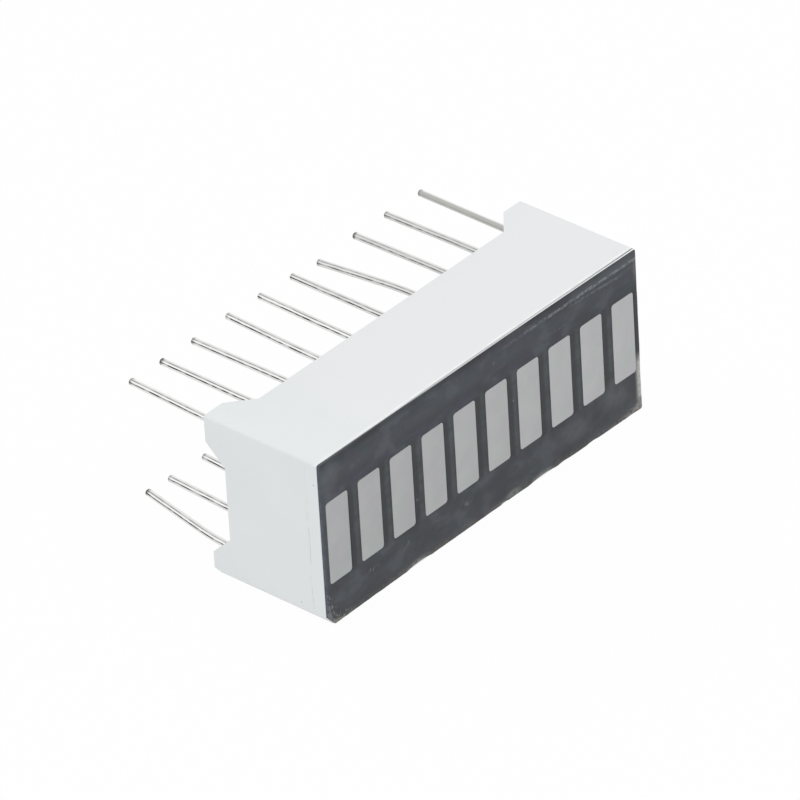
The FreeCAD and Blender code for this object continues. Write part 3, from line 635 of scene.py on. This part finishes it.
def pin_material():
    """Tinned drawn wire: bright metal with lengthwise drawing lines, painted reflection bands along it,
    painted matt shading on the dull wires, and a duller cut end.
    """
    s = Surface("tinned_wire", Metallic=1.0)
    place = s.attribute("wire_place")
    side, up = s.parts(place)[:2]
    from_tip, dullness_and_shade, tip_tone = s.parts(s.attribute("wire_tip"))
    wander = s.swing(s.noise(1.6, detail=2, stretch=(0.2, 0.2, 1), place=place, seed=3), 0.02)

    def line(degrees, inner, outer):
        """A band along the wire at an angle round it, used for the painted reflections and the painted
        matt shading.
        """
        angle = math.radians(degrees)
        facing = s.add(s.times(side, math.cos(angle)), s.times(up, math.sin(angle)))
        facing = s.add(facing, wander)
        return s.ramp(facing, math.cos(math.radians(outer)), math.cos(math.radians(inner)))

    fine = s.noise(0.16, detail=3, stretch=(1, 1, 0.02), place=place)
    blotch = s.noise(0.8, detail=3, stretch=(1, 1, 0.8), place=place, seed=2)
    dashes = s.noise(0.4, detail=3, stretch=(0.6, 0.6, 0.6), place=place, seed=21)
    uneven = s.ramp(dashes, 0.38, 0.56, 0.45, 1.0)
    shade = s.mix(s.ramp(fine, 0.32, 0.55), WIRE_GREY, WIRE_BRIGHT)

    # Each painted reflection band along the wire: its angle, half its width inside and with its soft
    # rim, its strength and colour
    for degrees, inner, outer, strength, colour in (
        (205, 14, 40, 0.45, grey(0.62, (1.0, 1.0, 0.985))),
        (100, 10, 38, 0.4, grey(0.5, (1.0, 1.0, 0.985))),
        (114, 2, 12, s.times(uneven, 0.8), grey(0.12, (1.0, 1.0, 0.98))),
        (159, 5, 15, uneven, grey(0.012, (1.0, 1.0, 0.97))),
        (25, 3, 12, 0.7, grey(0.2)),
        (300, 4, 16, 0.8, grey(0.1)),
    ):
        shade = s.over(shade, colour, line(degrees, inner, outer), strength)

    # The dull wires with their painted matt shading, a few stains, and the cut end
    shade = s.over(shade, s.mix(line(150, 5, 85), WIRE_MATT_PAINTED_LIT, WIRE_MATT_PAINTED_SHADE), dullness_and_shade)
    shade = s.over(shade, WIRE_STAIN, s.ramp(blotch, 0.56, 0.74), 0.3)
    end_tone = s.ramp(s.add(from_tip, s.swing(blotch, 0.4)), 0.28, 0.05)
    shade = s.over(shade, WIRE_END, end_tone, tip_tone)
    roughness = s.add(s.ramp(blotch, 0.3, 0.7, 0.1, 0.2), s.times(dullness_and_shade, 0.15))
    return s.finish(shade, roughness, s.bump(fine, 0.003))


def potting_material():
    """Whitish casting epoxy with a smooth poured surface."""
    s = Surface("casting_epoxy", IOR=1.52)
    cloud = s.noise(1.8, detail=3, seed=6)
    grain = s.noise(0.15, detail=2, seed=9)
    shade = s.mix(s.ramp(cloud, 0.3, 0.7), grey(0.6, (1.0, 1.0, 0.96)), grey(0.65, (1.0, 1.0, 0.97)))
    roughness = s.ramp(grain, 0.3, 0.7, 0.12, 0.22)
    return s.finish(shade, roughness, s.bump(cloud, 0.008))


def board_material():
    """Glass-epoxy laminate with the weave just showing."""
    s = Surface("glass_epoxy_laminate")
    weave = s.noise(0.3, detail=1, stretch=(3, 1, 1))
    shade = s.mix(weave, grey(0.3, (1.0, 0.95, 0.6)), grey(0.42, (1.0, 0.95, 0.6)))
    return s.finish(shade, s.ramp(weave, 0.3, 0.7, 0.4, 0.6), s.bump(weave, 0.01))


def metal_material(name, tint):
    """A bright sealed-in metal: tracks or bond wires."""
    s = Surface(name, Metallic=1.0)
    grain = s.noise(0.05, detail=2)
    shade = s.mix(grain, grey(0.6, tint), grey(0.85, tint))
    return s.finish(shade, s.ramp(grain, 0.3, 0.7, 0.2, 0.4), s.bump(grain, 0.002))


def die_material():
    """The sawn crystal of a light-emitting die."""
    s = Surface("die_crystal", IOR=2.0)
    grain = s.noise(0.04, detail=2)
    shade = s.mix(grain, grey(0.1, (1.0, 0.9, 0.7)), grey(0.25, (1.0, 0.9, 0.7)))
    return s.finish(shade, s.ramp(grain, 0.3, 0.7, 0.2, 0.5), s.bump(grain, 0.002))


def new_piece(name, form, material, slot, *nodes):
    """Makes a piece of a finished form, which rides on the body and stands for CAD nodes."""
    for face in form.faces:
        face.smooth = True
    mesh = bpy.data.meshes.new(name)
    form.to_mesh(mesh)
    form.free()
    mesh.set_sharp_from_angle(angle=SHARP)
    mesh.materials.append(material)
    piece = bpy.data.objects.new(name, mesh)
    bpy.context.scene.collection.objects.link(piece)
    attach(piece, ROOT)
    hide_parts(*nodes)
    return piece


def softened_form(node, width, wanted):
    """The node's own form, with the sharp edges that the test picks rounded."""
    form = bmesh.new()
    form.from_mesh(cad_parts[node].data)
    bmesh.ops.remove_doubles(form, verts=form.verts, dist=WELD * MM)
    bmesh.ops.dissolve_limit(form, angle_limit=FLAT, verts=form.verts, edges=form.edges)
    sharp = [edge for edge in form.edges if edge.is_manifold and edge.calc_face_angle(0) > SHARP]
    bmesh.ops.bevel(
        form,
        geom=[edge for edge in sharp if wanted(edge)],
        offset=width * MM,
        segments=EDGE_SEGMENTS,
        profile=0.5,
        affect="EDGES",
        clamp_overlap=True,
    )
    return form


def film_shift(x):
    """How far the film's front stands off at a place along the face, in millimetres."""
    return BOW * (x / OUTER_WINDOW) ** 2


def film_gap(x):
    """How wide the gap behind the film is at a place along the face, in millimetres."""
    share = min(max((x - GAP_START) / (FACE_RIGHT - GAP_START), 0), 1)
    return GAP_WIDTH * share * share * (3 - 2 * share)


def make_housing(material):
    """The white moulding with softened edges, apart from the wells, which film and windows fill."""

    def outside_wells(edge):
        from_sides = []
        for vert in edge.verts:
            side = min(vert.co.x - housing_low.x, housing_high.x - vert.co.x)
            rise = min(vert.co.z - housing_low.z, housing_high.z - vert.co.z)
            from_sides.append(min(side, rise) / MM)
        behind = all(vert.co.y > potting_high.y - SAME_PLACE * MM for vert in edge.verts)
        return behind or max(from_sides) < SAME_PLACE

    form = softened_form("housing", HOUSING_EDGE, outside_wells)
    for vert in form.verts:
        if vert.co.y / MM < FACE_BACK + 2 * HOUSING_EDGE:
            vert.co.y -= HOUSING_SHARE * film_shift(vert.co.x / MM) * MM
    return new_piece("housing_shell", form, material, "housing_plastic", "housing")


def worn_back(from_edge, along, wobble, nicks):
    """How far a point near the film's edge is worn back, at a place along that edge."""
    if from_edge >= EDGE_ZONE:
        return 0
    worn = 0
    for place, depth, half_width in nicks:
        share = max(1 - ((along - place) / half_width) ** 2, 0)
        worn = max(worn, depth * share)
    return (worn + wobble) * (1 - from_edge / EDGE_ZONE)


def uneven(reach, x, z):
    """A soft wobble of a worn edge, never below zero."""
    return reach * max(0.5 + noise.noise(Vector((x, 0, z))), 0)


def cut_cells(form, axis, low, high, step):
    """Cuts the form into strips, so that it can bow and wear."""
    normal = Vector((0, 0, 0))
    normal[axis] = 1
    count = int((high - low) / step)
    for number in range(1, count):
        place = normal * (low + (high - low) * number / count) * MM
        geometry = form.verts[:] + form.edges[:] + form.faces[:]
        bmesh.ops.bisect_plane(form, geom=geometry, plane_co=place, plane_no=normal, dist=CUT_CLOSE * MM)


def make_film(material):
    """The dark film: softened front edges, a slight bow, and a worn outline."""

    def front_edge(edge):
        return all(vert.co.y / MM < FACE_FRONT + SAME_PLACE for vert in edge.verts)

    form = softened_form("face_mask", FILM_EDGE, front_edge)
    cut_cells(form, 0, FACE_LEFT, FACE_RIGHT, CELL_ALONG)
    cut_cells(form, 2, FACE_BOTTOM, FACE_TOP, CELL_UP)
    for vert in form.verts:
        x, y, z = vert.co / MM
        back = (y - FACE_FRONT) / (FACE_BACK - FACE_FRONT)
        behind = HOUSING_SHARE * film_shift(x) + film_gap(x)
        vert.co.y -= (film_shift(x) * (1 - back) + behind * back) * MM
        lower_wobble = uneven(LOWER_WOBBLE, x * LOWER_WAVES, LOWER_SEED)
        vert.co.z += worn_back(z - FACE_BOTTOM, x, lower_wobble, LOWER_NICKS) * MM
        right_wobble = uneven(RIGHT_WOBBLE, RIGHT_SEED, z * RIGHT_WAVES)
        vert.co.x -= worn_back(FACE_RIGHT - x, z, right_wobble, RIGHT_NICKS) * MM
    return new_piece("face_film", form, material, "face_ink", "face_mask")


def rounded_loop(centre, width, height, radius, y):
    """Points of a rounded rectangle in the plane of the face, the corners as arcs."""
    points = []
    for corner in range(4):
        side = 1 if corner in (0, 3) else -1
        rise = 1 if corner in (0, 1) else -1
        x = centre.x + side * (width / 2 - radius)
        z = centre.z + rise * (height / 2 - radius)
        for step in range(ARC_STEPS + 1):
            angle = (corner + step / ARC_STEPS) * math.pi / 2
            points.append(Vector((x + radius * math.cos(angle), y, z + radius * math.sin(angle))))
    return points


def bridge(form, first, second):
    """Faces between two loops of equal count."""
    for step in range(len(first)):
        follower = (step + 1) % len(first)
        form.faces.new((first[step], second[step], second[follower], first[follower]))


def make_window(node, material):
    """One light window: tapered epoxy, its front a hair behind the film's and slightly dished."""
    low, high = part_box(node)
    centre = (low + high) / 2
    width = high.x - low.x
    height = high.z - low.z
    back_width = width * BACK_SHARES[0]
    back_height = height * BACK_SHARES[1]
    form = bmesh.new()
    back = rounded_loop(centre, back_width, back_height, BACK_RADIUS * MM, high.y)
    loops = [[form.verts.new(point) for point in back]]
    for inset, depth in WINDOW_STEPS:
        cut = 2 * inset * MM
        radius = max(WINDOW_RADIUS - inset, LEAST_RADIUS) * MM
        loop = rounded_loop(centre, width - cut, height - cut, radius, low.y)
        for point in loop:
            point.y += (depth - film_shift(point.x / MM)) * MM
        loops.append([form.verts.new(point) for point in loop])
    for first, second in zip(loops, loops[1:]):
        bridge(form, first, second)
    form.faces.new(loops[-1])
    form.faces.new(reversed(loops[0]))
    bmesh.ops.recalc_face_normals(form, faces=form.faces)
    number = node.split("_")[1]
    return new_piece("window_" + number, form, material, "window_epoxy", node)


def pin_line(node):
    """The middle line of a pin, read from its node: root, bend and tip."""
    points = np.array([vert.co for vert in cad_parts[node].data.vertices])
    root = points[points[:, 1] < points[:, 1].min() + SAME_PLACE * MM].mean(axis=0)
    tip = points[points[:, 1] > points[:, 1].max() - PIN_RADIUS * MM].mean(axis=0)
    bend = Vector((root[0], (FEET + BEND_START) * MM, root[2]))
    return Vector(root), bend, Vector(tip)


def pin_path(node):
    """Points along a pin: straight, through a soft bend, and straight to where its end rounds."""
    root, bend, tip = pin_line(node)
    tip += (bend - tip).normalized() * TIP_TRIM * MM
    before = bend - Vector((0, BEND_SPREAD * MM, 0))
    after = bend + (tip - bend).normalized() * BEND_SPREAD * MM
    points = [root.lerp(before, step / ROOT_STEPS) for step in range(ROOT_STEPS)]
    for step in range(BEND_STEPS + 1):
        share = step / BEND_STEPS
        points.append(before.lerp(bend, share).lerp(bend.lerp(after, share), share))
    inward = (after - tip).normalized()
    shoulder = tip + inward * TIP_ROUNDING * MM
    points += [after.lerp(shoulder, step / LEG_STEPS) for step in range(1, LEG_STEPS + 1)]
    return points, tip, inward


def pin_rings(path, tip, inward):
    """Centre and radius of each ring round a pin, the last ones round its cut end."""
    rings = [(point, PIN_RADIUS) for point in path]
    for step in range(1, TIP_STEPS + 1):
        angle = step / TIP_STEPS * math.pi / 2
        back = TIP_ROUNDING * (1 - math.sin(angle))
        rings.append((tip + inward * back * MM, PIN_RADIUS - TIP_ROUNDING * (1 - math.cos(angle))))
    return rings


def make_pin(node, material):
    """A round wire pin with a faintly uneven surface and a softly rounded cut end."""
    path, tip, inward = pin_path(node)
    rings = pin_rings(path, tip, inward)
    form = bmesh.new()
    place = form.verts.layers.float_vector.new("wire_place")
    to_tip = form.verts.layers.float_vector.new("wire_tip")
    loops = []
    number = int(node.split("_")[1])
    dullness_and_shade = DULL_AND_SHADED_PINS.get(number, 0.0)
    tip_tone = DARK_TIPS.get(number, USUAL_TIP)
    run = PINS_APART * number
    for index, (centre, radius) in enumerate(rings):
        ahead = rings[min(index + 1, len(rings) - 1)][0]
        behind = rings[max(index - 1, 0)][0]
        along = (ahead - behind).normalized()
        side = along.cross(Vector((0, 0, 1))).normalized()
        upright = side.cross(along)
        run += (centre - behind).length / MM
        loop = []
        for step in range(PIN_SIDES):
            angle = 2 * math.pi * step / PIN_SIDES
            out = side * math.cos(angle) + upright * math.sin(angle)
            where = Vector((out.x * DENTS_ROUND, run * DENTS_ALONG, out.z * DENTS_ROUND))
            dent = min(DENT * noise.noise(where), 0.0)
            vert = form.verts.new(centre + out * radius * MM * (1 + dent))
            vert[place] = Vector((math.cos(angle), math.sin(angle), run))
            vert[to_tip] = Vector(((tip - centre).length / MM, dullness_and_shade, tip_tone))
            loop.append(vert)
        loops.append(loop)
    for first, second in zip(loops, loops[1:]):
        bridge(form, first, second)
    form.faces.new(loops[0])
    form.faces.new(reversed(loops[-1]))
    bmesh.ops.recalc_face_normals(form, faces=form.faces)
    return new_piece("wire_" + node, form, material, "pin_metal", node)


def into_round_corner(x, z, half_x, half_z):
    """A grid point of the rear epoxy, drawn in where the cavity's corner is round."""
    beyond_x = max(abs(x) - (half_x - CAVITY_RADIUS), 0)
    beyond_z = max(abs(z) - (half_z - CAVITY_RADIUS), 0)
    if beyond_x > 0 and beyond_z > 0:
        pull = max(beyond_x, beyond_z) / math.hypot(beyond_x, beyond_z)
        x = math.copysign(half_x - CAVITY_RADIUS + beyond_x * pull, x)
        z = math.copysign(half_z - CAVITY_RADIUS + beyond_z * pull, z)
    return x, z


def pour_lift(x, z, to_wall, to_pin):
    """How far the poured surface lies above the solid's: it climbs at walls and pins."""
    lift = WALL_RISE * math.exp(-max(to_wall, 0) / WALL_REACH)
    lift += PIN_RISE * math.exp(-max(to_pin, 0) / PIN_REACH)
    where = Vector((x * POUR_WAVES, z * POUR_WAVES, POUR_SEED))
    lift += POUR_UNEVEN * noise.noise(where) - POUR_SINK
    return lift


def make_potting(material):
    """The poured rear epoxy: it climbs a little at the walls and round each pin."""
    low = potting_low / MM
    high = potting_high / MM
    half_x = (high.x - low.x) / 2
    half_z = (high.z - low.z) / 2
    count_x = int(2 * half_x / POTTING_CELL)
    count_z = int(2 * half_z / POTTING_CELL)
    pins = np.array([pin_line(node)[0] / MM for node in PIN_NODES])
    form = bmesh.new()
    tops = []
    bottoms = []
    for i in range(count_x + 1):
        for j in range(count_z + 1):
            x = half_x * (2 * i / count_x - 1)
            z = half_z * (2 * j / count_z - 1)
            to_wall = min(half_x - abs(x), half_z - abs(z))
            x, z = into_round_corner(x, z, half_x, half_z)
            z += MID_HEIGHT
            to_pin = np.hypot(pins[:, 0] - x, pins[:, 2] - z).min() - PIN_RADIUS
            lift = pour_lift(x, z, to_wall, to_pin)
            tops.append(form.verts.new(Vector((x, high.y + lift, z)) * MM))
            bottoms.append(form.verts.new(Vector((x, low.y, z)) * MM))
    row = count_z + 1
    for i in range(count_x):
        for j in range(count_z):
            corners = (i * row + j, (i + 1) * row + j, (i + 1) * row + j + 1, i * row + j + 1)
            form.faces.new([tops[corner] for corner in corners])
            form.faces.new([bottoms[corner] for corner in reversed(corners)])
    rim = [i * row for i in range(count_x)]
    rim += [count_x * row + j for j in range(count_z)]
    rim += [i * row + count_z for i in range(count_x, 0, -1)]
    rim += list(range(count_z, 0, -1))
    bridge(form, [tops[corner] for corner in rim], [bottoms[corner] for corner in rim])
    bmesh.ops.recalc_face_normals(form, faces=form.faces)
    return new_piece("rear_epoxy_pour", form, material, "rear_epoxy", "potting")


def make_stage():
    """A pale floor that reads as white and keeps a faint shadow."""
    mesh = bpy.data.meshes.new("floor")
    half = FLOOR_HALF
    corners = [(-half, -half, 0), (half, -half, 0), (half, half, 0), (-half, half, 0)]
    mesh.from_pydata(corners, [], [(0, 1, 2, 3)])
    floor = bpy.data.objects.new("floor", mesh)
    bpy.context.scene.collection.objects.link(floor)
    material = bpy.data.materials.new("floor_white")
    material.use_nodes = True
    tree = material.node_tree
    matt = tree.nodes["Principled BSDF"]
    matt.inputs["Base Color"].default_value = grey(FLOOR_LEVEL)
    matt.inputs["Roughness"].default_value = FLOOR_ROUGHNESS
    matt.inputs["Specular IOR Level"].default_value = 0.0
    glow = tree.nodes.new("ShaderNodeEmission")
    path = tree.nodes.new("ShaderNodeLightPath")
    share = tree.nodes.new("ShaderNodeMapRange")
    share.inputs["To Min"].default_value = FLOOR_GLOW[0]
    share.inputs["To Max"].default_value = FLOOR_GLOW[1]
    tree.links.new(path.outputs["Is Camera Ray"], share.inputs["Value"])
    blend = tree.nodes.new("ShaderNodeMixShader")
    tree.links.new(share.outputs[0], blend.inputs[0])
    tree.links.new(matt.outputs[0], blend.inputs[1])
    tree.links.new(glow.outputs[0], blend.inputs[2])
    tree.links.new(blend.outputs[0], tree.nodes["Material Output"].inputs["Surface"])
    mesh.materials.append(material)


def area_light(name, place, size, power):
    """A round soft lamp that looks at the part."""
    data = bpy.data.lights.new(name, "AREA")
    data.shape = "DISK"
    data.size = size
    data.energy = power
    lamp = bpy.data.objects.new(name, data)
    lamp.location = place
    lamp.rotation_mode = "QUATERNION"
    lamp.rotation_quaternion = (-Vector(place)).to_track_quat("-Z", "Y")
    bpy.context.scene.collection.objects.link(lamp)


def make_light():
    """A soft white surround, a large soft lamp overhead and a weak one from the left."""
    world = bpy.data.worlds.new("surround")
    bpy.context.scene.world = world
    world.use_nodes = True
    tree = world.node_tree
    background = tree.nodes["Background"]
    background.inputs["Color"].default_value = grey(1.0)
    path = tree.nodes.new("ShaderNodeLightPath")
    seen = path.outputs["Is Camera Ray"]
    for kind in ("Is Glossy Ray", "Is Transmission Ray"):
        either = tree.nodes.new("ShaderNodeMath")
        either.operation = "MAXIMUM"
        tree.links.new(seen, either.inputs[0])
        tree.links.new(path.outputs[kind], either.inputs[1])
        seen = either.outputs[0]
    strength = tree.nodes.new("ShaderNodeMapRange")
    strength.inputs["To Min"].default_value = SURROUND[0]
    strength.inputs["To Max"].default_value = SURROUND[1]
    tree.links.new(seen, strength.inputs["Value"])
    tree.links.new(strength.outputs[0], background.inputs["Strength"])
    for name, place, size, power in LAMPS:
        area_light(name, place, size, power)


def make_camera():
    """The photograph's camera: a long lens that looks down on the face and the pin 1 end."""
    data = bpy.data.cameras.new("camera")
    data.lens = CAMERA_LENS
    data.sensor_width = SENSOR
    camera = bpy.data.objects.new("camera", data)
    back = Vector((
        math.sin(CAMERA_AZIMUTH) * math.cos(CAMERA_ELEVATION),
        -math.cos(CAMERA_AZIMUTH) * math.cos(CAMERA_ELEVATION),
        math.sin(CAMERA_ELEVATION),
    ))
    level = Vector((math.cos(CAMERA_AZIMUTH), math.sin(CAMERA_AZIMUTH), 0))
    upright = back.cross(level)
    right = level * math.cos(CAMERA_ROLL) + upright * math.sin(CAMERA_ROLL)
    turn = Matrix((right, back.cross(right), back)).transposed()
    camera.matrix_world = Matrix.Translation(CAMERA_PLACE) @ turn.to_4x4()
    bpy.context.scene.collection.objects.link(camera)
    bpy.context.scene.camera = camera


def dress_nodes(prefix, material):
    """Gives a new material to every CAD node whose name starts so."""
    for name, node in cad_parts.items():
        if name.startswith(prefix):
            node.data.materials.clear()
            node.data.materials.append(material)


make_camera()
make_stage()
make_light()
make_housing(housing_material())
make_film(film_material())
window_epoxy = window_material()
for window_node in WINDOW_NODES:
    make_window(window_node, window_epoxy)
pin_metal = pin_material()
for pin_node in PIN_NODES:
    make_pin(pin_node, pin_metal)
make_potting(potting_material())
dress_nodes("circuit_board", board_material())
dress_nodes("board_tracks", metal_material("gold_plate", (1.0, 0.78, 0.42)))
dress_nodes("bond_wire", metal_material("gold_wire", (1.0, 0.76, 0.35)))
dress_nodes("led_die", die_material())
bpy.context.scene.view_settings.view_transform = "Standard"
